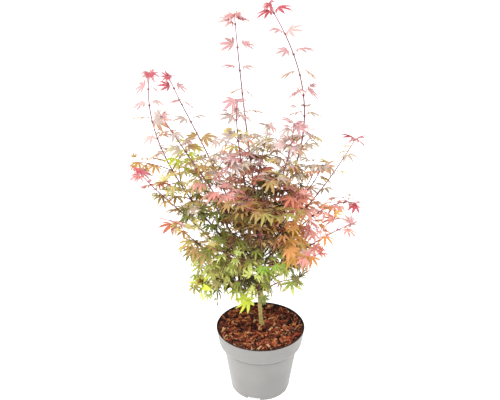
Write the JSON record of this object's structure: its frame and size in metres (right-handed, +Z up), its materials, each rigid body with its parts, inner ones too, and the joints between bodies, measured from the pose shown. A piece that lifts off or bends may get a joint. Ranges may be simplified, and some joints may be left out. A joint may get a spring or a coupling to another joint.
{
  "type": "potted japanese maple",
  "caption": "Young Japanese maple in a round nursery pot: slim leaning trunk, opposite boughs, palmate autumn leaves and long upright shoots.",
  "frame": {"origin": "middle of the pot's flat underside", "axes": "+Z up; the picture's camera looks along +Y, with +X to its right"},
  "size_m": [0.4742, 0.3403, 0.8264],
  "materials": {
    "pot": "satin light grey moulded plastic",
    "potting_mix": "damp shredded bark",
    "bark": "smooth young bark",
    "shoot_bark": "smooth dark red shoot bark",
    "leaves": "thin matt autumn leaves from green through bronze to red"
  },
  "bodies": {
    "root": {"pot": "pot", "potting_mix": "potting_mix", "trunk": "bark", "tallest_bough": "shoot_bark", "far_left_bough": "shoot_bark", "left_back_bough": "shoot_bark", "left_front_bough": "shoot_bark", "middle_front_bough": "shoot_bark", "right_front_bough": "shoot_bark", "right_back_bough": "shoot_bark", "right_middle_bough": "shoot_bark", "low_left_bough": "shoot_bark", "lowest_left_bough": "shoot_bark", "low_right_bough": "shoot_bark", "mid_right_bough": "shoot_bark", "lowest_right_bough": "shoot_bark", "back_middle_bough": "shoot_bark", "back_left_bough": "shoot_bark", "back_right_bough": "shoot_bark", "back_low_bough": "shoot_bark", "front_left_bough": "shoot_bark", "front_right_bough": "shoot_bark", "front_upper_bough": "shoot_bark", "front_middle_bough": "shoot_bark", "middle_tall_leaves": "leaves", "tallest_leaves": "leaves", "far_left_leaves": "leaves", "left_back_leaves": "leaves", "left_front_leaves": "leaves", "middle_front_leaves": "leaves", "right_front_leaves": "leaves", "right_back_leaves": "leaves", "right_middle_leaves": "leaves", "low_left_leaves": "leaves", "lowest_left_leaves": "leaves", "low_right_leaves": "leaves", "mid_right_leaves": "leaves", "lowest_right_leaves": "leaves", "back_middle_leaves": "leaves", "back_left_leaves": "leaves", "back_right_leaves": "leaves", "back_low_leaves": "leaves", "front_left_leaves": "leaves", "front_right_leaves": "leaves", "front_upper_leaves": "leaves", "front_middle_leaves": "leaves", "inner_left_leaves": "leaves", "inner_right_leaves": "leaves", "inner_top_leaves": "leaves", "inner_back_leaves": "leaves", "inner_low_left_leaves": "leaves", "skirt_front_left_leaves": "leaves", "skirt_front_leaves": "leaves", "skirt_right_leaves": "leaves", "skirt_back_right_leaves": "leaves", "skirt_back_left_leaves": "leaves", "inner_back_high_leaves": "leaves", "inner_back_low_leaves": "leaves"}
  },
  "joints": []
}
